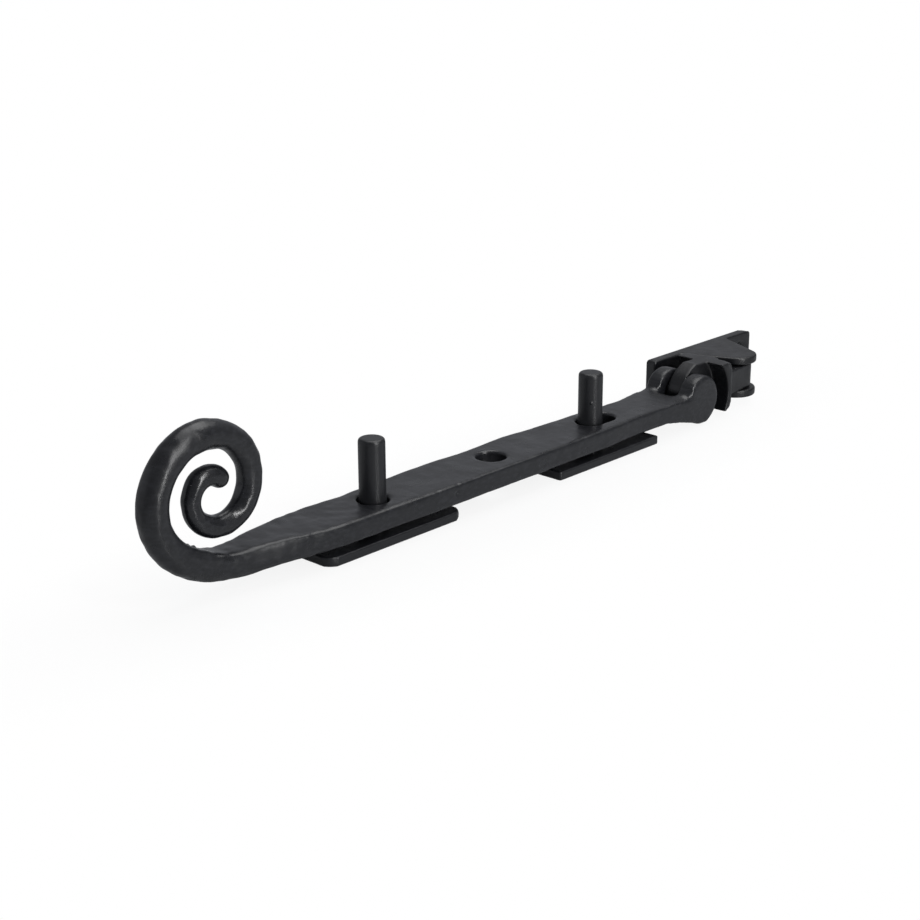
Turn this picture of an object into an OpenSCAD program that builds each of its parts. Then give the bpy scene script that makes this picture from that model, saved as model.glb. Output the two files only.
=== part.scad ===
// Forged casement stay with a curled tail, a forked knuckle that swivels two ways,
// a base bracket for the window and two pins on plates for the frame.
// Origin: centre of the base bracket's back face. +Y points into the window,
// +Z is up, and the closed arm lies along -X.

/* [Base bracket] */
// Length of the plate that is screwed to the window
plate_length = 58; // [54:1:80]
// Height of the plate, over both lugs
plate_height = 14.8; // [13:0.1:18]
// Thickness of the plate
plate_thickness = 4; // [3:0.1:6]
// Corner radius of the plate
plate_corner = 1.5; // [0.5:0.1:3]
// Distance from the plate's back face to the upright pivot
pivot_setback = 17.6; // [15.5:0.1:24]
// Thickness of each lug
lug_thickness = 2.8; // [2:0.1:3.5]
// Radius of each lug's tip round the pivot
lug_tip_radius = 7.5; // [6.5:0.1:9]
// Width of each lug where it leaves the plate
lug_root_width = 28; // [22:0.5:32]
// Distance between the two screw holes
bracket_screw_pitch = 45; // [43:0.5:46]
// Diameter of the screw holes
bracket_screw_bore = 4.6; // [4:0.1:5]
// Diameter of the countersinks at the plate's face
bracket_screw_head = 9; // [8:0.1:9.5]

/* [Swivel link] */
// Distance between the upright pivot and the level knuckle pivot
link_length = 31.5; // [31:0.5:45]
// Height of the link's shoulders
shoulder_height = 17.4; // [16.4:0.1:20]
// Height of the shoulders' middle over the bracket's middle
shoulder_lift = 0.4; // [0:0.1:0.8]
// Distance from the upright pivot to the shoulders' outer face
shoulder_reach = 14.2; // [14:0.1:16]
// Radius of the hollow in the shoulders round the knuckle
shoulder_hollow = 14.3; // [12.5:0.1:14.4]
// Radius of the shoulders' two upright outer corners
shoulder_corner = 2; // [1:0.1:3]
// Radius of the shoulders' outer edges above and below
shoulder_round = 2.4; // [1:0.1:3]
// Width of the neck where it leaves the shoulders
link_neck_width = 14; // [11:0.5:15]
// Radius of the barrel between the lugs
barrel_radius = 5.8; // [5:0.1:6.4]
// Thickness of the tongue that stands in the fork
tongue_thickness = 5.9; // [5:0.1:7.2]
// Drop of the knuckle pivot below the bracket's middle height
knuckle_drop = 1.2; // [0:0.1:2]
// Radius of the tongue's round end
tongue_radius = 6.5; // [6:0.1:8]
// Distance from the knuckle pivot to the tongue's full height
tongue_rise = 4.5; // [4:0.1:6]

/* [Arm] */
// Width of the flat bar
arm_width = 20; // [18:0.5:21]
// Thickness of the flat bar
arm_thickness = 6.5; // [5.5:0.1:7.8]
// Radius of the bar's worn edges
arm_edge = 0.9; // [0.6:0.1:1.6]
// Distance from the knuckle pivot to the centre of the slot
slot_place = 46.9; // [44:0.1:56]
// Distance between neighbouring holes
hole_pitch = 50.8; // [46:0.1:61]
// Length of the slot, end to end
slot_length = 15.2; // [14:0.1:18]
// Size of the broken edge round each hole
hole_edge = 0.3; // [0.1:0.1:0.5]
// Distance from the last hole to the place where the bar starts to narrow
neck_place = 21; // [19:0.5:32]
// Length of the narrowing neck before the curl
neck_length = 31; // [26:0.5:40]
// Drop of the bar's middle along the neck
neck_drop = 0.6; // [0:0.1:1]

/* [Fork] */
// Radius of the fork's two ears
ear_radius = 8.5; // [8.2:0.1:9]
// Width over both ears
fork_width = 19.6; // [18:0.1:21]
// Radius of the ears' worn outer rims
ear_rim = 1; // [0.4:0.1:1.4]
// Distance from the knuckle pivot to the bottom of the fork's slot
fork_depth = 8.6; // [8.4:0.1:10]
// Radius of the two upright corners at the bottom of the fork's slot
fork_corner = 1.5; // [0.5:0.1:2.5]
// Height of the knuckle pivot over the bar's lower face
knuckle_height = 4.1; // [3.4:0.1:4.5]
// Distance from the knuckle pivot to where the bar starts to spread into the fork
flare_length = 26; // [24:0.5:32]
// Distance from the knuckle pivot to where its underside starts to deepen
heel_length = 20; // [16:0.5:24]
// Distance from the knuckle pivot to the heel under the ears
heel_place = 2.4; // [1:0.1:3]

/* [Curled tail] */
// Scale of the whole curl, where 1 is the size in the photograph
curl_scale = 1; // [0.85:0.01:1.3]
// Total turn of the curl, in degrees
curl_turn = 582; // [540:1:594]
// Largest turn from one ring of the curl to the next, in degrees
curl_step = 9; // [6:1:12]

/* [Pins and plates] */
// Diameter of the two pins
pin_diameter = 8; // [6.6:0.1:9.6]
// Radius of the round edge at the pins' tops
pin_crown = 0.9; // [0.5:0.1:1.5]
// Step from a pin's body in to its riveted foot
pin_step = 1; // [0.6:0.1:1.4]
// Height of the tail end's pin over its plate
tail_pin_height = 27; // [24:0.1:34]
// Height of the swivel end's pin over its plate
swivel_pin_height = 25.2; // [22:0.1:34]
// Gap under the bar, between it and the pins' plates
plate_drop = 2.1; // [1:0.1:3]
// Thickness of the pins' plates
pin_plate_thickness = 3; // [2.5:0.1:4]
// Width of the pins' plates
pin_plate_width = 20.5; // [18:0.5:24]
// Length of the tail end's plate
tail_plate_length = 54.5; // [50:0.5:60]
// Distance from the tail end's pin to its plate centre
tail_plate_offset = 0.6; // [0:0.1:2]
// Corner radius of the tail end's plate
tail_plate_corner = 3.5; // [1:0.5:5]
// Length of the swivel end's plate
swivel_plate_length = 50.5; // [47:0.5:60]
// Distance from the swivel end's plate centre to its pin
swivel_plate_offset = 1.4; // [0:0.1:3]
// Corner radius of the swivel end's plate
swivel_plate_corner = 0.8; // [0.4:0.1:2]
// Distance between the screw holes of a pin's plate
pin_plate_pitch = 36; // [34:0.5:38]
// Diameter of the screw holes in the pins' plates
pin_plate_bore = 4; // [3.6:0.1:4.6]
// Diameter of their countersinks at the plates' faces
pin_plate_head = 8; // [7:0.1:8.4]

/* [Fits] */
// Diameter of both pivot pins
pivot_diameter = 6; // [5:0.1:6.4]
// Radial clearance of a pivot pin in the piece that turns on it
running_clearance = 0.08; // [0.03:0.01:0.1]
// Radial clearance of a riveted pin in the piece that holds it
rivet_clearance = 0.02; // [0.01:0.01:0.05]
// Radial clearance of the pins in the bar's holes and slot
pin_clearance = 0.8; // [0.5:0.05:1]
// Gap over and under the link's barrel between the lugs
side_clearance = 0.3; // [0.2:0.05:0.4]
// Gap on each side of the tongue in the fork's slot
fork_clearance = 1; // [0.3:0.05:1.2]
// Depth of the countersink that a riveted end fills
rivet_depth = 0.8; // [0.5:0.1:1]

/* [Hidden] */
$fn = 96;
OVERCUT = 1;
BLACK = [0.16, 0.16, 0.17];
SOFT_BLACK = [0.2, 0.2, 0.21];

// Diameter of the holes, and width of the slot
hole_bore = pin_diameter + 2 * pin_clearance;

// The upright pivot, the knuckle pivot and the holes, along X
pivot_y = -pivot_setback;
knuckle_x = -link_length;
slot_x = knuckle_x - slot_place;
middle_hole_x = slot_x - hole_pitch;
last_hole_x = middle_hole_x - hole_pitch;
// The swivel end's pin stands in the tail end of the slot
swivel_pin_x = slot_x - (slot_length - hole_bore) / 2;

// Heights of the bar and of what lies under it. The bracket's middle height is zero.
knuckle_z = -knuckle_drop;
ground_z = knuckle_z - ear_radius;
bar_bottom = knuckle_z - knuckle_height;
bar_top = bar_bottom + arm_thickness;
bar_middle = (bar_top + bar_bottom) / 2;
pin_plate_top = bar_bottom - plate_drop;
pin_plate_bottom = pin_plate_top - pin_plate_thickness;

barrel_height = plate_height - 2 * lug_thickness - 2 * side_clearance;
fork_slot = tongue_thickness + 2 * fork_clearance;
pivot_radius = pivot_diameter / 2;
rivet_flare = pivot_radius + rivet_depth;
pin_foot = pin_diameter / 2 - pin_step;

neck_x = last_hole_x - neck_place;
curl_x = neck_x - neck_length;

// How far the hammer moved the bar's near and far edge from half its width, by the
// distance from the knuckle pivot towards the tail
NEAR_EDGE = [[16, -1], [26, -0.7], [36, -0.7], [50, 0.1], [76, 0.2], [90, 0.5], [112, 0.3],
             [130, 0.5], [150, 0.2], [170, 0.1]];
FAR_EDGE = [[16, -2.9], [26, -2.4], [32, -2.2], [42, -1.3], [52, -0.9], [66, -0.9], [74, 0.2],
            [84, 0.6], [98, -0.3], [114, 0.2], [132, 0], [156, -1.1], [172, -0.5]];

// Bend radius of the curl by the degrees it has turned
BENDS = [[0, 36], [60, 17.5], [120, 17.2], [180, 17], [240, 14.4], [300, 12],
         [360, 9.8], [420, 8.8], [480, 6.2], [540, 5.2], [600, 6.7]];

// Diameter of the curl's bar by the degrees it has turned
GIRTHS = [[0, 8.1], [20, 8.8], [60, 8.6], [130, 8.7], [180, 8.5], [210, 7.6], [260, 7],
          [330, 6.7], [375, 6.2], [440, 5.5], [500, 5.8], [560, 6], [600, 5.6]];

// Width of the curl's bar, where the flat bar still runs out into the round one
BREADTHS = [[0, 11.6], [10, 10.2], [20, 9.3], [40, 8.8], [60, 8.6]];
FLAT_TURN = 60;

// Radius of the curl's inner corners there, until the bar is round
CORNERS = [[0, 2.2], [30, 3], [60, 4.2], [90, 5]];

// Smooth step from 0 to 1
function ease(u) = let (v = min(1, max(0, u))) v * v * (3 - 2 * v);

// Point where the tangent from an outside point touches a circle; side is 1 or -1.
// It lies a hair inside the circle, so that a straight side merges with the round.
TOUCH = 0.01;
function touch(centre, radius, from, side) =
    let (d = from - centre, r = radius - TOUCH, turn = acos(r / norm(d)), a = atan2(d[1], d[0]))
    centre + r * [cos(a + side * turn), sin(a + side * turn)];

// Upright cylinder from z = low to z = high
module post(x, y, low, high, radius)
    translate([x, y, low]) cylinder(r = radius, h = high - low);

// Level cylinder along Y, centred on the arm
module level_post(x, z, width, radius)
    translate([x, pivot_y, z]) rotate([90, 0, 0]) cylinder(r = radius, h = width, center = true);

// Cone that opens from small to large over its depth
module sink(small, large, depth)
    cylinder(r1 = small, r2 = large, h = depth);

// Plate lying flat, with round upright corners
module flat_plate(length, width, corner, thickness)
    linear_extrude(thickness) rounded_outline(length, width, corner);

module rounded_outline(length, width, corner) {
    square([length - 2 * corner, width], center = true);
    square([length, width - 2 * corner], center = true);
    for (sx = [-1, 1], sy = [-1, 1])
        translate([sx * (length / 2 - corner), sy * (width / 2 - corner)]) circle(r = corner, $fn = 48);
}

// Outline of a lug: a tip round the pivot and two straight sides to its root
module lug_outline() {
    centre = [0, pivot_y];
    root_y = -plate_thickness / 2;
    right = [lug_root_width / 2, -plate_thickness];
    left = [-lug_root_width / 2, -plate_thickness];
    translate(centre) circle(r = lug_tip_radius);
    polygon([centre, touch(centre, lug_tip_radius, right, -1), right, [right[0], root_y],
             [left[0], root_y], left, touch(centre, lug_tip_radius, left, 1)]);
}

module base_bracket() {
    color(BLACK) difference() {
        union() {
            rotate([90, 0, 0])
                flat_plate(plate_length, plate_height, plate_corner, plate_thickness);
            for (low = [-plate_height / 2, plate_height / 2 - lug_thickness])
                translate([0, 0, low]) linear_extrude(lug_thickness) lug_outline();
        }
        post(0, pivot_y, -plate_height, plate_height, pivot_radius + rivet_clearance);
        for (side = [0, 1]) mirror([0, 0, side])
            translate([0, pivot_y, plate_height / 2 - rivet_depth])
                sink(pivot_radius + rivet_clearance, rivet_flare + rivet_clearance, rivet_depth);
        for (x = [-1, 1] * bracket_screw_pitch / 2)
            translate([x, -plate_thickness, 0]) rotate([-90, 0, 0]) countersunk_hole(
                bracket_screw_bore, bracket_screw_head, plate_thickness);
    }
}

// Screw hole with its countersink at z = 0, through to z = thickness
module countersunk_hole(bore, head, thickness) {
    translate([0, 0, -OVERCUT]) cylinder(d = bore, h = thickness + 2 * OVERCUT);
    sink(head / 2, bore / 2, (head - bore) / 2);
    translate([0, 0, -OVERCUT]) cylinder(d = head, h = OVERCUT);
}

// Pin whose two ends are hammered out into countersinks, upright and centred
module riveted_pivot(length) {
    rotate_extrude() polygon([[0, -length / 2], [rivet_flare, -length / 2],
        [pivot_radius, -length / 2 + rivet_depth], [pivot_radius, length / 2 - rivet_depth],
        [rivet_flare, length / 2], [0, length / 2]]);
}

module bracket_pivot_pin()
    color(SOFT_BLACK) translate([0, pivot_y, 0]) riveted_pivot(plate_height);

module knuckle_pivot_pin()
    color(SOFT_BLACK) translate([knuckle_x, pivot_y, knuckle_z]) rotate([90, 0, 0])
        riveted_pivot(fork_width);

// Side view of the tongue and the shoulders behind it
module tongue_profile() {
    knuckle = [knuckle_x, knuckle_z];
    top = [knuckle_x + tongue_rise, shoulder_lift + shoulder_height / 2];
    foot = [knuckle_x + tongue_rise, shoulder_lift - shoulder_height / 2];
    translate(knuckle) circle(r = tongue_radius);
    polygon([knuckle, touch(knuckle, tongue_radius, top, 1), top, [-shoulder_reach, top[1]],
             [-shoulder_reach, foot[1]], foot, touch(knuckle, tongue_radius, foot, -1)]);
}

// Stands a side view, drawn in X and Z, up across the arm
module across_arm(width)
    translate([0, pivot_y + width / 2, 0]) rotate([90, 0, 0]) linear_extrude(width) children();

module swivel_link() {
    shoulder_x = knuckle_x + ear_radius / 2;
    color(BLACK) difference() {
        union() {
            post(0, pivot_y, -barrel_height / 2, barrel_height / 2, barrel_radius);
            link_neck();
            across_arm(tongue_thickness) tongue_profile();
            difference() {
                shoulders(shoulder_x);
                level_post(knuckle_x, knuckle_z, fork_width + 2 * OVERCUT, shoulder_hollow);
            }
        }
        post(0, pivot_y, -plate_height, plate_height, pivot_radius + running_clearance);
        level_post(knuckle_x, knuckle_z, fork_width, pivot_radius + running_clearance);
    }
}

// Rectangle from x = 0 to its length, with its two corners there rounded
module round_ended(length, height, corner) {
    translate([0, -height / 2]) square([length - corner, height]);
    translate([0, corner - height / 2]) square([length, height - 2 * corner]);
    for (side = [-1, 1])
        translate([length - corner, side * (height / 2 - corner)]) circle(r = corner, $fn = 48);
}

// Block behind the tongue, its outer edges rounded in both views
module shoulders(from_x) {
    length = -shoulder_reach - from_x;
    intersection() {
        translate([from_x, pivot_y, shoulder_lift - shoulder_height / 2])
            linear_extrude(shoulder_height) round_ended(length, fork_width, shoulder_corner);
        across_arm(fork_width) translate([from_x, shoulder_lift])
            round_ended(length, shoulder_height, shoulder_round);
    }
}

// Neck that tapers from the shoulders to the barrel, between the lugs
module link_neck() {
    root = link_neck_width / 2;
    inner_x = -shoulder_reach - OVERCUT;
    outer_x = -shoulder_reach + OVERCUT;
    side = touch([0, 0], barrel_radius, [outer_x, root], -1);
    translate([0, pivot_y, -barrel_height / 2]) linear_extrude(barrel_height)
        polygon([[inner_x, -root], [outer_x, -root], [side[0], -side[1]], side,
                 [outer_x, root], [inner_x, root]]);
}

// Rounded section of the bar, whose edges lie near and far from the arm's middle line:
// points in (across, up), CORNER_POINTS of them round each corner. Its upper corners
// become the curl's inner ones.
CORNER_POINTS = 6;
function section(near, far, height, upper, lower) =
    [for (quarter = [0:3], k = [0:CORNER_POINTS - 1])
        let (step = 90 / CORNER_POINTS, a = quarter * 90 + (k + 0.5) * step,
             corner = quarter < 2 ? upper : lower, r = corner / cos(step / 2),
             across = (quarter == 0 || quarter == 3) ? far - corner : corner - near,
             up = (quarter < 2 ? 1 : -1) * (height / 2 - corner))
        [across + r * cos(a), up + r * sin(a)]];

// A ring of the bar: its centre in X and Z, the way it heads in degrees, and its section
function ring(centre, heading, near, far, height, upper, lower) =
    [for (p = section(near, far, height, upper, lower))
        [centre[0] - p[1] * sin(heading), pivot_y + p[0], centre[1] + p[1] * cos(heading)]];

// The bar's near and far half width at a place along X
function near_edge(x) = arm_width / 2 + lookup(knuckle_x - x, NEAR_EDGE);
function far_edge(x) = arm_width / 2 + lookup(knuckle_x - x, FAR_EDGE);

// Rings of the straight bar, from inside the fork to the start of the neck
BAR_RINGS = 26;
FORK_OVERLAP = 8;
bar_start = knuckle_x - fork_depth - FORK_OVERLAP;
function bar_rings() =
    [for (i = [0:BAR_RINGS - 1])
        let (x = bar_start + (neck_x - bar_start) * i / BAR_RINGS)
        ring([x, bar_middle], 0, near_edge(x), far_edge(x), arm_thickness, arm_edge, arm_edge)];

// Width of the flat that is left between two full corners
SEAM = 0.01;

// Rings of the neck, where the flat bar draws in and dips to the curl
NECK_RINGS = 8;
function neck_rings() =
    let (end = lookup(0, BREADTHS) * curl_scale / 2, thick = lookup(0, GIRTHS) * curl_scale,
         upper = lookup(0, CORNERS) * curl_scale, lower = thick / 2 - SEAM)
    [for (i = [0:NECK_RINGS - 1])
        let (u = i / NECK_RINGS, x = neck_x - neck_length * u,
             narrowing = (u + 2 * ease(u)) / 3, late = ease(2 * u - 1))
        ring([x, bar_middle - neck_drop * late], 0,
             near_edge(x) + (end - near_edge(x)) * narrowing,
             far_edge(x) + (end - far_edge(x)) * narrowing,
             arm_thickness + (thick - arm_thickness) * ease(u),
             arm_edge + (upper - arm_edge) * late, arm_edge + (lower - arm_edge) * narrowing)];

// Centres of the curl's rings: each step runs on along the bend
CURL_RINGS = ceil(curl_turn / curl_step);
ring_turn = curl_turn / CURL_RINGS;
function bend(turn) = lookup(turn, BENDS) * curl_scale;
curl_centres = [for (i = 0, p = [curl_x, bar_middle - neck_drop]; i <= CURL_RINGS;
    p = p + bend((i + 0.5) * ring_turn) * ring_turn * PI / 180
        * [-cos((i + 0.5) * ring_turn), sin((i + 0.5) * ring_turn)], i = i + 1) p];

// A ring of the curl, its sizes shrunk where the tip closes
function curl_ring(i, centre, shrink) =
    let (turn = i * ring_turn, size = curl_scale * shrink, height = lookup(turn, GIRTHS) * size,
         breadth = turn < FLAT_TURN ? max(lookup(turn, BREADTHS) * size, height) : height)
    ring(centre, -turn, breadth / 2, breadth / 2, height,
         min(lookup(turn, CORNERS) * size, height / 2 - SEAM), height / 2 - SEAM);
function curl_rings() = [for (i = [0:CURL_RINGS]) curl_ring(i, curl_centres[i], 1)];

// Rounded end of the curl: rings that close like a ball
TIP_ANGLES = [30, 55, 75];
function tip_rings() =
    let (r = lookup(curl_turn, GIRTHS) * curl_scale / 2)
    [for (a = TIP_ANGLES) curl_ring(CURL_RINGS,
        curl_centres[CURL_RINGS] + r * sin(a) * [-cos(curl_turn), sin(curl_turn)], cos(a))];

// Bar, neck and curl as one skin over the rings, with flat ends
module forged_bar() {
    rings = concat(bar_rings(), neck_rings(), curl_rings(), tip_rings());
    count = len(rings[0]);
    last = len(rings) - 1;
    sides = [for (i = [0:last - 1], k = [0:count - 1])
        let (n = (k + 1) % count)
        each [[i * count + k, i * count + n, (i + 1) * count + n],
              [i * count + k, (i + 1) * count + n, (i + 1) * count + k]]];
    first_cap = [for (k = [1:count - 2]) [0, k + 1, k]];
    last_cap = [for (k = [1:count - 2]) [last * count, last * count + k, last * count + k + 1]];
    polyhedron([for (r = rings) each r], concat(sides, first_cap, last_cap), convexity = 10);
}

// Side view of the fork: the bar deepens below the knuckle and ends in a heel.
// It starts a little inside the bar's skin, so that the two merge.
BLEND = 0.15;
FLARE_STEPS = 8;
HEEL_CORNER = [1, 0.4];
module fork_profile() {
    knuckle = [knuckle_x, knuckle_z];
    start = [knuckle_x - heel_length, bar_bottom + BLEND];
    top_x = knuckle_x - flare_length;
    heel = knuckle + [heel_place, -ear_radius];
    under = [for (i = [0:FLARE_STEPS]) let (u = i / FLARE_STEPS)
        [start[0] + (heel[0] - start[0]) * u, start[1] + (heel[1] - start[1]) * (u + ease(u)) / 2]];
    polygon(concat([[top_x, start[1]]], under,
                   [touch(knuckle, ear_radius, heel + HEEL_CORNER, 1), knuckle,
                    [knuckle_x - ear_radius, bar_top + BLEND], [top_x, bar_top - BLEND]]));
}

// Top view of the fork, spreading to its full width at the ears
module fork_plan() {
    start = knuckle_x - flare_length;
    ears = knuckle_x - ear_radius;
    end = knuckle_x + ear_radius + OVERCUT;
    half = fork_width / 2;
    translate([0, pivot_y]) polygon([[start, BLEND - near_edge(start)], [ears, -half], [end, -half],
                                     [end, half], [ears, half], [start, far_edge(start) - BLEND]]);
}

// Round of both ears, its outer rims worn
RIM_STEP = 15;
module ears() {
    half = fork_width / 2;
    rim = [for (a = [0:RIM_STEP:90])
        [ear_radius - ear_rim + ear_rim * cos(a), half - ear_rim + ear_rim * sin(a)]];
    translate([knuckle_x, pivot_y, knuckle_z]) rotate([90, 0, 0]) rotate_extrude()
        polygon(concat([[0, -half]], [for (i = [len(rim) - 1:-1:0]) [rim[i][0], -rim[i][1]]],
                       rim, [[0, half]]));
}

module fork_body() {
    ears();
    intersection() {
        across_arm(fork_width + 2 * OVERCUT) fork_profile();
        translate([0, 0, ground_z - OVERCUT])
            linear_extrude(2 * ear_radius + 2 * OVERCUT) fork_plan();
    }
}

// Plan of the slot between the ears, open towards the link
module fork_slot_plan() {
    run = fork_depth + ear_radius + 2 * OVERCUT;
    translate([knuckle_x - fork_depth + run, pivot_y]) mirror([1, 0])
        round_ended(run, fork_slot, fork_corner);
}

// Through hole in the bar with both rims broken
module bar_hole(x) {
    post(x, pivot_y, bar_bottom - OVERCUT, bar_top + OVERCUT, hole_bore / 2);
    for (flip = [0, 1])
        translate([x, pivot_y, bar_middle]) mirror([0, 0, flip])
            translate([0, 0, arm_thickness / 2 - hole_edge])
                sink(hole_bore / 2, hole_bore / 2 + 2 * hole_edge, 2 * hole_edge);
}

module stay_arm() {
    slot_run = slot_length - hole_bore;
    ear_bore = pivot_radius + rivet_clearance;
    color(BLACK) difference() {
        union() {
            forged_bar();
            fork_body();
        }
        bar_hole(last_hole_x);
        bar_hole(middle_hole_x);
        bar_hole(slot_x - slot_run / 2);
        bar_hole(slot_x + slot_run / 2);
        translate([slot_x, pivot_y, bar_middle])
            cube([slot_run, hole_bore, arm_thickness + 2 * OVERCUT], center = true);
        translate([0, 0, ground_z - OVERCUT])
            linear_extrude(2 * ear_radius + 2 * OVERCUT) fork_slot_plan();
        level_post(knuckle_x, knuckle_z, fork_width + 2 * OVERCUT, ear_bore);
        for (side = [0, 1])
            translate([knuckle_x, pivot_y, knuckle_z]) mirror([0, side, 0]) rotate([-90, 0, 0])
                translate([0, 0, fork_width / 2 - rivet_depth])
                    sink(ear_bore, rivet_flare + rivet_clearance, rivet_depth);
    }
}

// Step from point to point of the round edge at a pin's top, in degrees
CROWN_STEP = 15;

// Pin turned down at its foot and riveted over under its plate
module plate_pin(x, height) {
    body = pin_diameter / 2;
    under = -pin_plate_thickness;
    translate([x, pivot_y, pin_plate_top]) rotate_extrude() polygon(concat(
        [[0, under], [pin_foot + rivet_depth, under], [pin_foot, under + rivet_depth],
         [pin_foot, 0], [body, 0]],
        [for (a = [0:CROWN_STEP:90])
            [body - pin_crown + pin_crown * cos(a), height - pin_crown + pin_crown * sin(a)]],
        [[0, height]]));
}

// Plate under the bar: a riveted pin hole and two countersunk screw holes
module pin_plate(pin_x, plate_x, length, corner) {
    bore = pin_foot + rivet_clearance;
    difference() {
        translate([plate_x, pivot_y, pin_plate_bottom])
            flat_plate(length, pin_plate_width, corner, pin_plate_thickness);
        post(pin_x, pivot_y, pin_plate_bottom - OVERCUT, pin_plate_top + OVERCUT, bore);
        translate([pin_x, pivot_y, pin_plate_bottom])
            sink(bore + rivet_depth, bore, rivet_depth);
        for (x = [-1, 1] * pin_plate_pitch / 2)
            translate([plate_x + x, pivot_y, pin_plate_top]) mirror([0, 0, 1])
                countersunk_hole(pin_plate_bore, pin_plate_head, pin_plate_thickness);
    }
}

module tail_end_pin_plate()
    color(SOFT_BLACK) pin_plate(last_hole_x, last_hole_x + tail_plate_offset,
                                tail_plate_length, tail_plate_corner);

module swivel_end_pin_plate()
    color(SOFT_BLACK) pin_plate(swivel_pin_x, swivel_pin_x - swivel_plate_offset,
                                swivel_plate_length, swivel_plate_corner);

module tail_end_pin()
    color(BLACK) plate_pin(last_hole_x, tail_pin_height);

module swivel_end_pin()
    color(BLACK) plate_pin(swivel_pin_x, swivel_pin_height);

base_bracket();
bracket_pivot_pin();
swivel_link();
stay_arm();
knuckle_pivot_pin();
tail_end_pin_plate();
tail_end_pin();
swivel_end_pin_plate();
swivel_end_pin();
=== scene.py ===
"""Blender scene of a forged casement stay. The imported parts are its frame, and each of them
gets the real surface of its piece here."""
import math

import bmesh
import bpy
import numpy as np
from mathutils import Matrix, Quaternion, Vector, noise


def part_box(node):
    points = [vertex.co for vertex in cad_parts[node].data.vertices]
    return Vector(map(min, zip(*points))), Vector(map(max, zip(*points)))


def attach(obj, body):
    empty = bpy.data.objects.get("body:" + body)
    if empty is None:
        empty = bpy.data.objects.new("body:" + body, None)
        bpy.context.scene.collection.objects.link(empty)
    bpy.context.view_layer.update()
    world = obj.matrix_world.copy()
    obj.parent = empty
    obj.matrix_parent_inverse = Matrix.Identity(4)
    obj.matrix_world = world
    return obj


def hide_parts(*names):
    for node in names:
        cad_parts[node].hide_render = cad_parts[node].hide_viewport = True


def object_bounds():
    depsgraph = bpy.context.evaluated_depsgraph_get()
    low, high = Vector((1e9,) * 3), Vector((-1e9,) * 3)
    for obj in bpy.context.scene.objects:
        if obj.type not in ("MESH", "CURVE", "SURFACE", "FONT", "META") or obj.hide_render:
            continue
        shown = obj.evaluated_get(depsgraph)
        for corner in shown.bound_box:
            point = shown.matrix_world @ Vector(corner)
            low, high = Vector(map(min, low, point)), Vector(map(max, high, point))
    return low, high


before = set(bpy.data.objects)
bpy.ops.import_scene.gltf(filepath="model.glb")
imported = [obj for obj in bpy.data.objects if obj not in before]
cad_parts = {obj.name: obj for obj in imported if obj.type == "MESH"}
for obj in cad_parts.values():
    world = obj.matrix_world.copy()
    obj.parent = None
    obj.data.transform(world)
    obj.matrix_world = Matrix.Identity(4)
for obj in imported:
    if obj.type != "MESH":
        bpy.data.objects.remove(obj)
cad_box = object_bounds()
scene = bpy.context.scene

# The camera stands to the left of the curl and a little above the bar, and looks along the
# stay to its bracket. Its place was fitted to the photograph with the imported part's own sizes.
TARGET = Vector((-0.1431, -0.0176, 0.0034))
AZIMUTH = -46.715
ELEVATION = 19.065
ROLL = math.radians(-0.257)
DISTANCE = 0.55297
SENSOR = 36.0
FOCAL = 71.518
NEAREST_SEEN = 0.01
FARTHEST_SEEN = 50.0


def side_of_stay(azimuth, elevation):
    """Unit vector from the stay towards a place, by azimuth and elevation in degrees."""
    a, e = math.radians(azimuth), math.radians(elevation)
    return Vector((math.sin(a) * math.cos(e), -math.cos(a) * math.cos(e), math.sin(e)))


def place_facing(thing, side, distance, roll=0.0):
    """Puts a camera or a lamp on one side of the stay's middle, facing it."""
    thing.location = TARGET + distance * side
    thing.rotation_mode = "QUATERNION"
    thing.rotation_quaternion = ((-side).to_track_quat("-Z", "Y")
                                 @ Quaternion((0, 0, 1), roll))
    scene.collection.objects.link(thing)


camera_data = bpy.data.cameras.new("camera")
camera_data.sensor_width = SENSOR
camera_data.lens = FOCAL
camera_data.clip_start = NEAREST_SEEN
camera_data.clip_end = FARTHEST_SEEN
camera = bpy.data.objects.new("camera", camera_data)
place_facing(camera, side_of_stay(AZIMUTH, ELEVATION), DISTANCE, ROLL)
scene.camera = camera
scene.view_settings.view_transform = "Standard"

# The board that the stay lies on: satin laminate, grey to the lamps and the coat. To the camera
# it is clear, with the white studio behind it, but for a share near the stay that shows its
# shadow. From below it is clear to all light, so that what hangs under it shows and is lit.
BOARD_SIZE = 8.0
BOARD_GAP = 0.00005
BOARD_TONE = "#b0b2b5"
BOARD_PAINTED_SHADE = "#77797c"   # painted shade at its far left, as if the lamps fell off there
PAINTED_SHADE_FROM = -0.29
PAINTED_SHADE_TO = -0.36
BOARD_ROUGHNESS = 0.3
SHADOW_SHARE = 0.13      # of the laminate that the camera sees beside the stay
SHADOW_FROM = 0.018
SHADOW_TO = 0.06
SHADOW_SQUEEZE = 0.25    # the share follows the stay's length
REFLECTED_SHARE = 0.08   # of the camera's white that the coat reflects
WHITE = (1, 1, 1, 1)


def to_linear(code):
    """Linear colour of an sRGB hex value such as #1f2022."""
    channels = [int(code[i:i + 2], 16) / 255 for i in (1, 3, 5)]
    return [c / 12.92 if c <= 0.04045 else ((c + 0.055) / 1.055) ** 2.4 for c in channels] + [1.0]


def add_node(tree, kind, inputs=None, **settings):
    """Adds a node with its settings; inputs gives each socket a value or another node's output."""
    node = tree.nodes.new("ShaderNode" + kind)
    for name, value in settings.items():
        setattr(node, name, value)
    for name, value in (inputs or {}).items():
        if isinstance(value, bpy.types.NodeSocket):
            tree.links.new(value, node.inputs[name])
        else:
            node.inputs[name].default_value = value
    return node


def new_tree(owner):
    """Empty node tree of a material or the world."""
    owner.use_nodes = True
    owner.node_tree.nodes.clear()
    return owner.node_tree


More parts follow.
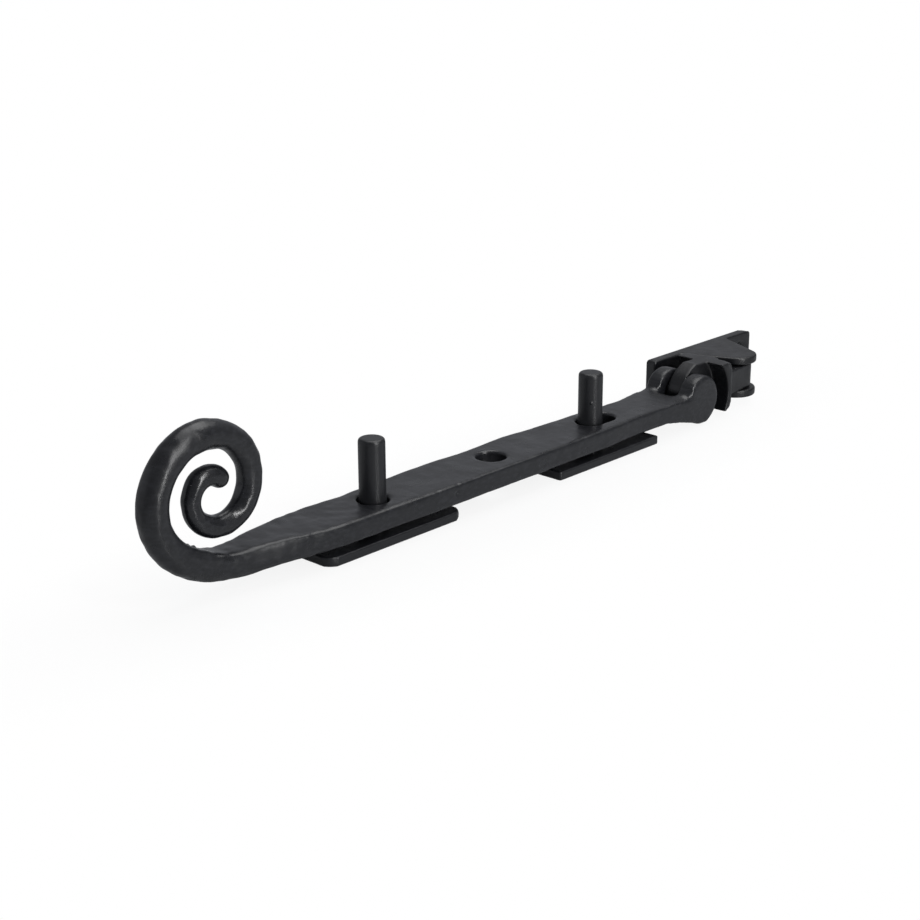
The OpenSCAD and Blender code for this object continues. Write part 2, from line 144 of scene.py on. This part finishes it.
def seen_share(tree):
    """1 for what the camera sees directly, and the reflected share for what the coat mirrors."""
    ray = add_node(tree, "LightPath")
    mirrored = add_node(tree, "Math", {0: ray.outputs["Is Glossy Ray"],
                                       1: ray.outputs["Is Transmission Ray"]}, operation="MAXIMUM")
    mirrored = add_node(tree, "Math", {0: mirrored.outputs[0], 1: REFLECTED_SHARE},
                        operation="MULTIPLY")
    return add_node(tree, "Math", {0: ray.outputs["Is Camera Ray"], 1: mirrored.outputs[0]},
                    operation="MAXIMUM").outputs[0]


board_mesh = bpy.data.meshes.new("white_board")
shape = bmesh.new()
bmesh.ops.create_grid(shape, x_segments=1, y_segments=1, size=BOARD_SIZE / 2)
bmesh.ops.translate(shape, vec=(TARGET.x, TARGET.y, cad_box[0].z - BOARD_GAP), verts=shape.verts)
shape.to_mesh(board_mesh)
shape.free()
board = bpy.data.objects.new("white_board", board_mesh)
scene.collection.objects.link(board)

# Pale grey melamine laminate, pressed satin: it mirrors the lamps and the studio softly.
laminate = bpy.data.materials.new("satin_pale_laminate")
tree = new_tree(laminate)
seen = seen_share(tree)
surface = add_node(tree, "NewGeometry")
spot = surface.outputs["Position"]
offset = add_node(tree, "VectorMath", {0: spot, 1: TARGET}, operation="SUBTRACT")
squeezed = add_node(tree, "VectorMath", {0: offset.outputs[0], 1: (SHADOW_SQUEEZE, 1, 1)},
                    operation="MULTIPLY")
away = add_node(tree, "VectorMath", {0: squeezed.outputs[0]}, operation="LENGTH")
clear_share = add_node(tree, "MapRange", {"Value": away.outputs["Value"], "From Min": SHADOW_FROM,
                                          "From Max": SHADOW_TO, "To Min": 1 - SHADOW_SHARE,
                                          "To Max": 1.0}, interpolation_type="SMOOTHSTEP")
white_share = add_node(tree, "Math", {0: seen, 1: clear_share.outputs[0]}, operation="MULTIPLY")
# Painted shade: the laminate's grey is darkened towards its far left, so that the coat reflects it
# darker there.
leftwards = add_node(tree, "SeparateXYZ", {0: spot})
painted_shade_mask = add_node(tree, "MapRange", {"Value": leftwards.outputs["X"], "From Min": PAINTED_SHADE_FROM,
                                     "From Max": PAINTED_SHADE_TO})
grey = add_node(tree, "Mix", {"Factor": painted_shade_mask.outputs[0], "A": to_linear(BOARD_TONE),
                              "B": to_linear(BOARD_PAINTED_SHADE)}, data_type="RGBA")
tone = add_node(tree, "Mix", {"Factor": seen, "A": grey.outputs["Result"], "B": WHITE},
                data_type="RGBA")
satin = add_node(tree, "BsdfPrincipled", {"Base Color": tone.outputs["Result"],
                                         "Roughness": BOARD_ROUGHNESS})
glow = add_node(tree, "Emission", {"Color": WHITE, "Strength": 1.0})
clear = add_node(tree, "BsdfTransparent")
camera_ray = add_node(tree, "LightPath").outputs["Is Camera Ray"]
white = add_node(tree, "MixShader", {0: camera_ray, 1: glow.outputs[0], 2: clear.outputs[0]})
above = add_node(tree, "MixShader", {0: white_share.outputs[0], 1: satin.outputs[0],
                                     2: white.outputs[0]})
both_sides = add_node(tree, "MixShader", {0: surface.outputs["Backfacing"], 1: above.outputs[0],
                                          2: clear.outputs[0]})
add_node(tree, "OutputMaterial", {"Surface": both_sides.outputs[0]})
board_mesh.materials.append(laminate)

# The studio round the board: dim, with a pale far wall and a white sheet low on the left. The
# camera sees plain white there, and the coat reflects the grey that the walls really are.
WALL_DARK = 0.14
WALL_PALE = 0.42
WALL_TINT = "#f3f6ff"
WALL_SIDE = Vector((0.66, 0.74, -0.1)).normalized()
WALL_FROM = 0.6
WALL_TO = 1.02
SHEET_GLOW = 0.35
SHEET_SIDE = Vector((-0.766, 0.643, 0.0))
SHEET_FROM = 0.7
SHEET_TO = 0.95

studio = bpy.data.worlds.new("dim_studio")
scene.world = studio
tree = new_tree(studio)
way = add_node(tree, "TexCoord").outputs["Generated"]
towards_wall = add_node(tree, "VectorMath", {0: way, 1: WALL_SIDE}, operation="DOT_PRODUCT")
wall = add_node(tree, "MapRange", {"Value": towards_wall.outputs["Value"], "From Min": WALL_FROM,
                                   "From Max": WALL_TO, "To Min": WALL_DARK, "To Max": WALL_PALE})
towards_sheet = add_node(tree, "VectorMath", {0: way, 1: SHEET_SIDE}, operation="DOT_PRODUCT")
sheet = add_node(tree, "MapRange", {"Value": towards_sheet.outputs["Value"],
                                    "From Min": SHEET_FROM, "From Max": SHEET_TO, "To Min": 0.0,
                                    "To Max": SHEET_GLOW}, interpolation_type="SMOOTHSTEP")
lit = add_node(tree, "Math", {0: wall.outputs[0], 1: sheet.outputs[0]}, operation="ADD")
tinted = add_node(tree, "VectorMath", {0: to_linear(WALL_TINT)[:3], "Scale": lit.outputs[0]},
                  operation="SCALE")
level = add_node(tree, "Mix", {"Factor": seen_share(tree), "A": tinted.outputs[0], "B": WHITE},
                 data_type="RGBA")
walls = add_node(tree, "Background", {"Color": level.outputs["Result"], "Strength": 1.0})
add_node(tree, "OutputWorld", {"Surface": walls.outputs[0]})

# Two soft boxes: a wide one overhead and behind, and a tall narrow one to the right of the
# camera that draws the highlights down the pins and the curl.
SOFT_BOXES = {
    # name: (azimuth, elevation, distance, width, height, watts)
    "overhead_box": (98, 70, 1.2, 1.05, 0.9, 8.5),
    "right_box": (-3, 28, 0.9, 0.12, 1.0, 6.0),
}
for name, (azimuth, elevation, distance, width, height, watts) in SOFT_BOXES.items():
    lamp = bpy.data.lights.new(name, "AREA")
    lamp.shape = "RECTANGLE"
    lamp.size = width
    lamp.size_y = height
    lamp.energy = watts
    place_facing(bpy.data.objects.new(name, lamp), side_of_stay(azimuth, elevation), distance)

# The arm: one bar of mild steel, about 20 by 6.5 mm, hammered at the edges. One end is split and
# spread to a fork for the knuckle, the other is drawn out round and rolled to a curl. It is
# coated when the knuckle's pivot is already riveted into the fork.
ARM_VOXEL = 0.00045
ARM_ROUNDS = 3
BAR_ROUNDS = 8
STEEL_KEPT = (0.5, -0.515)   # a step in and a step out, so that the bar keeps its size
CURL_FROM = -0.205           # the curl is rounder from here to its tip
CURL_TO = -0.232
CURL_ROUNDS = 26
NECK_FROM = -0.212           # the near edge is dressed round along the neck
NECK_TO = -0.162
BAR_MIDDLE = -0.0176
NECK_BOTTOM = -0.004
NECK_ROUNDS = 16
ROOT_FAR = 0.014             # the ears' roots, behind and above the knuckle's pivot
ROOT_NEAR = 0.0065
ROOT_HEIGHT = 0.0018
ROOT_ROUNDS = 100
ROOT_BLENDS = 14
EAR_ROUNDS = 10
FORK_FROM = -0.062           # the hammer marks fade out here
FORK_TO = -0.045
HAMMER_DEPTH = 0.00022
HAMMER_PITCH = 0.010
CURL_BLOWS = 0.6             # how much deeper the blows are on the curl
BLOW_PITCH = 0.9             # blows and fine marks in each pitch of the hammer
FINE_PITCH = 3.1
BLOW_RIM = 0.35
BROAD_SHARE = 0.6            # of swells, blows and fine marks in the depth
BLOW_SHARE = 0.5
FINE_SHARE = 0.2
CURL_FINE = 0.25
ARM_FLAWS = [
    # place, radius, depth: a nick and a pit on the near edge, and a burr inside the curl
    (Vector((-0.1546, -0.0276, 0.0011)), 0.0011, 0.00016),
    (Vector((-0.1553, -0.0276, -0.0014)), 0.0011, 0.0004),
    (Vector((-0.2462, -0.0176, 0.0042)), 0.0012, -0.0006),
    (Vector((-0.2485, -0.0176, 0.0052)), 0.0010, -0.0004),
]
MERGE_WITHIN = 1e-6
CAP_RADIUS = 0.0046          # the coat over a pivot's riveted end
CAP_DEPTH = 0.0008
CAP_SEGMENTS = 64


def smooth(shape, verts, rounds, factors=(0.5,), axes="xyz"):
    """Rounds edges, by steps of each factor in turn, along the axes named."""
    for _ in range(rounds):
        for factor in factors:
            bmesh.ops.smooth_vert(shape, verts=verts, factor=factor, use_axis_x="x" in axes,
                                  use_axis_y="y" in axes, use_axis_z="z" in axes)


def fill_corners(shape, verts, rounds):
    """Fills inner corners with a fillet: smooths, and keeps only the steps that add steel."""
    for _ in range(rounds):
        shape.normal_update()
        before = [(vert, vert.co.copy(), vert.normal.copy()) for vert in verts]
        smooth(shape, verts, 1)
        for vert, place, normal in before:
            if (vert.co - place).dot(normal) < 0:
                vert.co = place


def ramp(value, start, end):
    """0 up to the start, 1 from the end on, and even in between."""
    return min(1, max(0, (value - start) / (end - start)))


def hammer(shape):
    """Shallow hammer marks on the bar and the curl, none on the fork's fitted faces."""
    shape.normal_update()
    moves = []
    for vert in shape.verts:
        spot = vert.co
        fade = ramp(spot.x, FORK_TO, FORK_FROM)
        if fade:
            worked = ramp(spot.x, NECK_TO, CURL_FROM)
            broad = noise.noise(spot / HAMMER_PITCH)
            blow = BLOW_RIM - noise.voronoi(spot / HAMMER_PITCH * BLOW_PITCH)[0][0] ** 2
            fine = noise.noise(spot / HAMMER_PITCH * FINE_PITCH)
            depth = HAMMER_DEPTH * (1 + CURL_BLOWS * worked)
            moves.append((vert, vert.normal * fade * depth
                          * (BROAD_SHARE * broad + BLOW_SHARE * blow
                             + (FINE_SHARE + CURL_FINE * worked) * fine)))
    for vert, move in moves:
        vert.co += move


def dent(shape, spot, radius, depth):
    """Presses a round dent into the nearest point of a piece, or raises a burr where the depth
    is negative."""
    shape.normal_update()
    middle = min(shape.verts, key=lambda vert: (vert.co - spot).length).co.copy()
    for vert in shape.verts:
        away = (vert.co - middle).length / radius
        if away < 1:
            vert.co -= vert.normal * depth * (1 - away ** 2) ** 2


def pivot_axis(pin):
    """Centre, direction and length of a pivot, from the box of its CAD node."""
    corners = [Vector(c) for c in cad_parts[pin].bound_box]
    size = corners[6] - corners[0]
    along = max(range(3), key=lambda i: size[i])
    return (corners[0] + corners[6]) / 2, Vector([float(i == along) for i in range(3)]), size[along]


def coated_copy(node, name, voxel, rounds, pin=None):
    """A new piece in the shape of a CAD node under its coat: a merged copy of the node's
    mesh is skinned over at the voxel's size and its edges are rubbed round. The coat also
    closes over both ends of the pivot that is riveted into the piece."""
    shape = bmesh.new()
    shape.from_mesh(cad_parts[node].data)
    bmesh.ops.remove_doubles(shape, verts=shape.verts, dist=MERGE_WITHIN)
    if pin:
        centre, along, length = pivot_axis(pin)
        turn = Vector((0, 0, 1)).rotation_difference(along).to_matrix().to_4x4()
        for side in (-1, 1):
            middle = centre + side * (length - CAP_DEPTH) / 2 * along
            bmesh.ops.create_cone(shape, cap_ends=True, segments=CAP_SEGMENTS,
                                  radius1=CAP_RADIUS, radius2=CAP_RADIUS, depth=CAP_DEPTH,
                                  matrix=Matrix.Translation(middle) @ turn)
    mesh = bpy.data.meshes.new(name + "_core")
    shape.to_mesh(mesh)
    shape.free()
    core = bpy.data.objects.new(name + "_core", mesh)
    scene.collection.objects.link(core)
    skin = core.modifiers.new("skin", "REMESH")
    skin.mode = "VOXEL"
    skin.voxel_size = voxel
    graph = bpy.context.evaluated_depsgraph_get()
    skinned = bpy.data.meshes.new_from_object(core.evaluated_get(graph))
    skinned.name = name
    bpy.data.objects.remove(core)
    shape = bmesh.new()
    shape.from_mesh(skinned)
    smooth(shape, shape.verts, rounds)
    return shape, skinned


WEAR_AND_HIGHLIGHT_SPREAD = 3
NO_LENGTH = 1e-12


def mark_worn_and_highlit_edges(mesh):
    """Stores how far each point stands out from its neighbours, for the wear and the painted
    highlight along edges.
    """
    count = len(mesh.vertices)
    place = np.empty(count * 3)
    mesh.vertices.foreach_get("co", place)
    place = place.reshape(-1, 3)
    normal = np.empty(count * 3)
    mesh.vertices.foreach_get("normal", normal)
    normal = normal.reshape(-1, 3)
    ends = np.empty(len(mesh.edges) * 2, int)
    mesh.edges.foreach_get("vertices", ends)
    ends = ends.reshape(-1, 2)
    # How far the neighbours of each point fall away below it, as a share of their distance.
    step = place[ends[:, 0]] - place[ends[:, 1]]
    step /= np.linalg.norm(step, axis=1)[:, None] + NO_LENGTH
    near = np.bincount(ends.ravel(), minlength=count)
    out = np.bincount(ends[:, 0], (normal[ends[:, 0]] * step).sum(1), count)
    out -= np.bincount(ends[:, 1], (normal[ends[:, 1]] * step).sum(1), count)
    out /= near
    # The wear and the painted highlight reach a little to each side of an edge as well.
    for _ in range(WEAR_AND_HIGHLIGHT_SPREAD):
        spread = np.bincount(ends[:, 0], out[ends[:, 1]], count)
        spread += np.bincount(ends[:, 1], out[ends[:, 0]], count)
        out = (out + spread / near) / 2
    layer = mesh.attributes.new("worn_and_highlit_edges", "FLOAT", "POINT")
    layer.data.foreach_set("value", out.astype(np.float32))


def add_piece(name, shape, mesh, coat, slot, body, *nodes):
    """Puts a finished bmesh in the scene: inside the CAD's box, shaded smooth, on its body,
    instead of its nodes."""
    for vert in shape.verts:
        vert.co = [min(max(c, low), high) for c, low, high in zip(vert.co, *cad_box)]
    for face in shape.faces:
        face.smooth = True
    shape.to_mesh(mesh)
    shape.free()
    mark_worn_and_highlit_edges(mesh)
    mesh.materials.clear()
    mesh.materials.append(coat)
    piece = bpy.data.objects.new(name, mesh)
    scene.collection.objects.link(piece)
    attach(piece, body)
    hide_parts(*nodes)


COAT_IOR = 1.5
MM_IN_M = 1000
ORANGE_PEEL = (1.6, 0.045)   # spacing and depth in mm
GRIT = (0.35, 0.014)         # really under 0.1 mm, and drawn as coarse as it needs to show
PATCH_MM = 7.0               # the wear with its painted highlight, and the gloss, vary in patches of about this size
PATCH_FROM = 0.35
PATCH_TO = 0.65
GLOSS_FROM = 0.3
GLOSS_TO = 0.7
WORN_AND_HIGHLIT_FROM = 0.05
WORN_AND_HIGHLIT_TO = 0.35
WORN_ROUGHNESS = 0.48
# Painted highlight, partly wear: the lighter grey that rubbed edges are tinted towards.
WORN_AND_HIGHLIGHT_TONE = "#4c4d52"
HANDLED_GLOSS = 0.11         # how much roughness hands have taken off
STREAK_SHARE = 0.25
STREAK_FROM = 0.45
STREAK_TO = 0.7


def black_coat(name, tone, roughness, worn_and_highlight_tone=WORN_AND_HIGHLIGHT_TONE, peel=ORANGE_PEEL, grit=GRIT,
               polished=None, rasped=None):
    """Black polyester powder coat, baked until it flows to a satin skin. It has a faint orange
    peel and a fine grit, and is duller and greyer where its edges are rubbed, the grey partly
    wear and partly a painted highlight along the edges. polished gives a place, and the
    distances from it over which handling made the coat glossier. rasped gives the spacing in
    mm along X, Y and Z, and the depth, of marks across a bar."""
    peel_mm, peel_depth = peel
    grit_mm, grit_depth = grit
    coat = bpy.data.materials.new(name)
    tree = new_tree(coat)
    where = add_node(tree, "TexCoord").outputs["Object"]
    edges = add_node(tree, "Attribute", attribute_name="worn_and_highlit_edges", attribute_type="GEOMETRY")
    worn_and_highlit_edges = add_node(tree, "MapRange", {"Value": edges.outputs["Fac"], "From Min": WORN_AND_HIGHLIT_FROM,
                                         "From Max": WORN_AND_HIGHLIT_TO}, interpolation_type="SMOOTHSTEP")
    patches = add_node(tree, "TexNoise", {"Vector": where, "Scale": MM_IN_M / PATCH_MM,
                                          "Detail": 4.0, "Roughness": 0.6})
    patchy = add_node(tree, "MapRange", {"Value": patches.outputs["Fac"], "From Min": PATCH_FROM,
                                         "From Max": PATCH_TO})
    worn_and_highlit = add_node(tree, "Math", {0: worn_and_highlit_edges.outputs[0], 1: patchy.outputs[0]},
                    operation="MULTIPLY")
    greyer = worn_and_highlit.outputs[0]
    peel_noise = add_node(tree, "TexNoise", {"Vector": where, "Scale": MM_IN_M / peel_mm,
                                             "Detail": 2.0, "Roughness": 0.45})
    relief = add_node(tree, "Bump", {"Height": peel_noise.outputs["Fac"], "Strength": 1.0,
                                     "Distance": peel_depth / MM_IN_M})
    if rasped:
        *spacing, rasp_depth = rasped
        drawn = add_node(tree, "Mapping", {"Vector": where,
                                           "Scale": [MM_IN_M / mm for mm in spacing]})
        marks = add_node(tree, "TexNoise", {"Vector": drawn.outputs[0], "Scale": 1.0,
                                            "Detail": 2.0, "Roughness": 0.5})
        streaks = add_node(tree, "MapRange", {"Value": marks.outputs["Fac"],
                                              "From Min": STREAK_FROM, "From Max": STREAK_TO,
                                              "To Max": STREAK_SHARE})
        greyer = add_node(tree, "Math", {0: greyer, 1: streaks.outputs[0]},
                          operation="MAXIMUM").outputs[0]
        relief = add_node(tree, "Bump", {"Height": marks.outputs["Fac"], "Strength": 1.0,
                                         "Distance": rasp_depth / MM_IN_M,
                                         "Normal": relief.outputs["Normal"]})
    grit_noise = add_node(tree, "TexNoise", {"Vector": where, "Scale": MM_IN_M / grit_mm,
                                             "Detail": 3.0, "Roughness": 0.7})
    relief = add_node(tree, "Bump", {"Height": grit_noise.outputs["Fac"], "Strength": 1.0,
                                     "Distance": grit_depth / MM_IN_M,
                                     "Normal": relief.outputs["Normal"]})
    # Rubbed edges are tinted lighter grey: partly wear, partly a painted highlight.
    tint = add_node(tree, "Mix", {"Factor": greyer, "A": to_linear(tone),
                                  "B": to_linear(worn_and_highlight_tone)}, data_type="RGBA")
    satin = add_node(tree, "MapRange", {"Value": patches.outputs["Fac"], "From Min": GLOSS_FROM,
                                        "From Max": GLOSS_TO, "To Min": roughness[0],
                                        "To Max": roughness[1]})
    dullness = add_node(tree, "Mix", {"Factor": worn_and_highlit.outputs[0], "A": satin.outputs[0],
                                      "B": WORN_ROUGHNESS})
    if polished:
        place, far, near = polished
        away = add_node(tree, "VectorMath", {0: where, 1: place}, operation="DISTANCE")
        handled = add_node(tree, "MapRange", {"Value": away.outputs["Value"], "From Min": far,
                                              "From Max": near, "To Min": 0.0,
                                              "To Max": HANDLED_GLOSS},
                           interpolation_type="SMOOTHSTEP")
        dullness = add_node(tree, "Math", {0: dullness.outputs[0], 1: handled.outputs[0]},
                            operation="SUBTRACT")
    paint = add_node(tree, "BsdfPrincipled", {
        "Base Color": tint.outputs["Result"], "Roughness": dullness.outputs[0], "IOR": COAT_IOR,
        "Normal": relief.outputs["Normal"]})
    add_node(tree, "OutputMaterial", {"Surface": paint.outputs[0]})
    return coat


# Powder coat on a hammered bar. The steel's file marks show through as faint streaks across it,
# and hands have made it glossier deep in the curl.
CURL_EYE = Vector((-0.239, -0.0176, 0.0156))
HANDLED_FROM = 0.016
HANDLED_TO = 0.009
FILE_MARKS = (1.8, 12.0, 0.9, 0.02)
# Its edges take a lighter grey, partly wear and partly a painted highlight.
arm_coat = black_coat("satin_black_coat_on_forged_bar", "#1a1b1e", roughness=(0.24, 0.42),
                      worn_and_highlight_tone="#3c3d42", polished=(CURL_EYE, HANDLED_FROM, HANDLED_TO),
                      rasped=FILE_MARKS)

shape, mesh = coated_copy("stay_arm", "forged_arm", ARM_VOXEL, ARM_ROUNDS, "knuckle_pivot_pin")
# The bar's edges are rounded, then the curl's more and more, then the neck's near edge.
smooth(shape, shape.verts, BAR_ROUNDS, STEEL_KEPT)
for i in range(CURL_ROUNDS):
    border = CURL_FROM + (CURL_TO - CURL_FROM) * i / CURL_ROUNDS
    smooth(shape, [v for v in shape.verts if v.co.x < border], 1, STEEL_KEPT)
smooth(shape, [v for v in shape.verts if NECK_FROM < v.co.x < NECK_TO and v.co.y < BAR_MIDDLE
               and v.co.z > NECK_BOTTOM], NECK_ROUNDS)
# The roots of the ears get fillets, and are blended into the bar.
knuckle = pivot_axis("knuckle_pivot_pin")[0]
fill_corners(shape, [v for v in shape.verts if v.co.z > knuckle.z
                     and knuckle.x - ROOT_FAR < v.co.x < knuckle.x], ROOT_ROUNDS)
smooth(shape, [v for v in shape.verts if v.co.x > FORK_TO], EAR_ROUNDS)
smooth(shape, [v for v in shape.verts if v.co.z > knuckle.z + ROOT_HEIGHT
               and knuckle.x - ROOT_FAR < v.co.x < knuckle.x - ROOT_NEAR], ROOT_BLENDS)
hammer(shape)
for spot, radius, depth in ARM_FLAWS:
    dent(shape, spot, radius, depth)
add_piece("forged_arm", shape, mesh, arm_coat, "forged_black", "arm", "stay_arm")

# The bracket: a steel forging, a back plate with two lugs that hold the upright pivot of the
# link. It is screwed to the opening window, through two countersunk holes.
FORGING_VOXEL = 0.0003
FORGING_ROUNDS = 9
BACK_PLATE = 0.0036
CORNER_REACH = 0.003
CORNER_ROUNDS = 60


def corners_of(shape, node, axes):
    """Points of a piece that are near the ends of its node's box, along each axis named."""
    low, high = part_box(node)
    along = ["xyz".index(axis) for axis in axes]
    return [v for v in shape.verts
            if all(min(v.co[i] - low[i], high[i] - v.co[i]) < CORNER_REACH for i in along)]


# Powder coat on the forgings: blacker in tone and duller than on the bar.
forging_coat = black_coat("satin_black_coat_on_forgings", "#111215", roughness=(0.3, 0.46))

shape, mesh = coated_copy("base_bracket", "window_bracket", FORGING_VOXEL, FORGING_ROUNDS,
                          "bracket_pivot_pin")
low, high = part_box("base_bracket")
smooth(shape, [v for v in corners_of(shape, "base_bracket", "z")
               if v.co.y > high.y - BACK_PLATE and v.co.x > high.x - CORNER_REACH],
       CORNER_ROUNDS, axes="xz")
add_piece("window_bracket", shape, mesh, forging_coat, "forged_black", "bracket", "base_bracket")

# The swivel link: a steel forging under the same coat. Its barrel turns between the bracket's
# lugs, and its tongue is pinned in the arm's fork. The tongue ends a little short of the ears'
# round, and is faintly arched on top.
SHOULDER_FROM = -0.0178
TONGUE_WALL = 0.004
TONGUE_DRAW = 0.8            # share of the end beyond that wall that is drawn in
ARCH_FROM = -0.0035          # seen from the pivot's middle
ARCH_LENGTH = 0.0095
ARCH_HEIGHT = 0.003
ARCH_WIDTH = 0.0034
ARCH_RISE = 0.0006
ARCH_WAY = Vector((-0.6, 0, 0.8))

shape, mesh = coated_copy("swivel_link", "knuckle_link", FORGING_VOXEL, FORGING_ROUNDS)
smooth(shape, [v for v in corners_of(shape, "swivel_link", "yz") if v.co.x > SHOULDER_FROM],
       CORNER_ROUNDS)
# The tongue's end is drawn in towards the pivot's wall, and its top is raised to a low arch.
for vert in shape.verts:
    arm = vert.co - knuckle
    reach = math.hypot(arm.x, arm.z)
    if arm.x < 0 and reach > TONGUE_WALL:
        pull = TONGUE_DRAW * (reach - TONGUE_WALL) * (arm.x / reach) ** 2
        vert.co -= Vector((arm.x, 0, arm.z)) / reach * pull
    along = (arm.x - ARCH_FROM) / ARCH_LENGTH
    if 0 < along < 1 and arm.z > ARCH_HEIGHT and abs(arm.y) < ARCH_WIDTH:
        vert.co += ARCH_WAY * ARCH_RISE * math.sin(math.pi * along)
add_piece("knuckle_link", shape, mesh, forging_coat, "forged_black", "link", "swivel_link")

# The two pivots: round steel, hammered out into the countersinks of the lugs and the ears and
# ground flush. Each ends just under the coat that closes over it.
PIVOT_VOXEL = 0.0002
PIVOT_ROUNDS = 2
PIVOTS = {"bracket_pivot_pin": "bracket", "knuckle_pivot_pin": "arm"}

# Powder coat that has crept a little way into the joint, as satin as on the bar.
pivot_coat = black_coat("satin_black_coat_on_pivots", "#1a1b1e", roughness=(0.25, 0.42))

for node, body in PIVOTS.items():
    shape, mesh = coated_copy(node, node + "_coated", PIVOT_VOXEL, PIVOT_ROUNDS)
    centre, along, length = pivot_axis(node)
    shorter = Vector((1, 1, 1)) - CAP_DEPTH / length * along
    bmesh.ops.scale(shape, vec=shorter, space=Matrix.Translation(-centre), verts=shape.verts)
    add_piece(node + "_coated", shape, mesh, pivot_coat, "pivot_black", body, node)

# The two plates: cut from 3 mm steel strip, with two countersunk holes each for the screws into
# the window frame. The corners of the tail's plate are filed rounder.
PLATE_VOXEL = 0.0003
PLATE_ROUNDS = 7
PLATES = {"tail_end_pin_plate": "tail_pin_set", "swivel_end_pin_plate": "swivel_pin_set"}

# Powder coat on rolled strip: smoother steel under it, so a shallower orange peel.
plate_coat = black_coat("satin_black_coat_on_strip", "#18191c", roughness=(0.25, 0.42),
                        peel=(1.6, 0.035))

for node, body in PLATES.items():
    shape, mesh = coated_copy(node, node + "_coated", PLATE_VOXEL, PLATE_ROUNDS)
    if node == "tail_end_pin_plate":
        smooth(shape, corners_of(shape, node, "xy"), CORNER_ROUNDS, axes="xy")
    add_piece(node + "_coated", shape, mesh, plate_coat, "plate_black", body, node)

# The two pins: 8 mm round bar, turned to a rounded top and riveted in the plates. The coat
# gathers round their feet, and has left a nib on one of them.
PIN_VOXEL = 0.00025
PIN_ROUNDS = 12
FOOT_FLARE = 0.0004
FOOT_TOP = 0.0055
FOOT_BOTTOM = -0.003
PLATE_TOP = -0.0072
PIN_NIB = (Vector((-0.0841, -0.0203, 0.0083)), 0.0006, -0.0003)   # place, radius, depth
PINS = {"tail_end_pin": "tail_pin_set", "swivel_end_pin": "swivel_pin_set"}

# Powder coat on turned steel: even, with a finer peel and grit than on the forged pieces.
pin_coat = black_coat("satin_black_coat_on_turned_pins", "#1a1b1e", roughness=(0.33, 0.43),
                      peel=(1.2, 0.02), grit=(0.3, 0.01))

for node, body in PINS.items():
    shape, mesh = coated_copy(node, node + "_coated", PIN_VOXEL, PIN_ROUNDS)
    centre = pivot_axis(node)[0]
    # The coat flares out at the pin's foot.
    for vert in shape.verts:
        if vert.co.z > PLATE_TOP:
            near_foot = ramp(vert.co.z, FOOT_TOP, FOOT_BOTTOM)
            out = Vector((vert.co.x - centre.x, vert.co.y - centre.y, 0))
            vert.co += out.normalized() * FOOT_FLARE * near_foot ** 2
    if node == "swivel_end_pin":
        dent(shape, *PIN_NIB)
    add_piece(node + "_coated", shape, mesh, pin_coat, "pin_black", body, node)
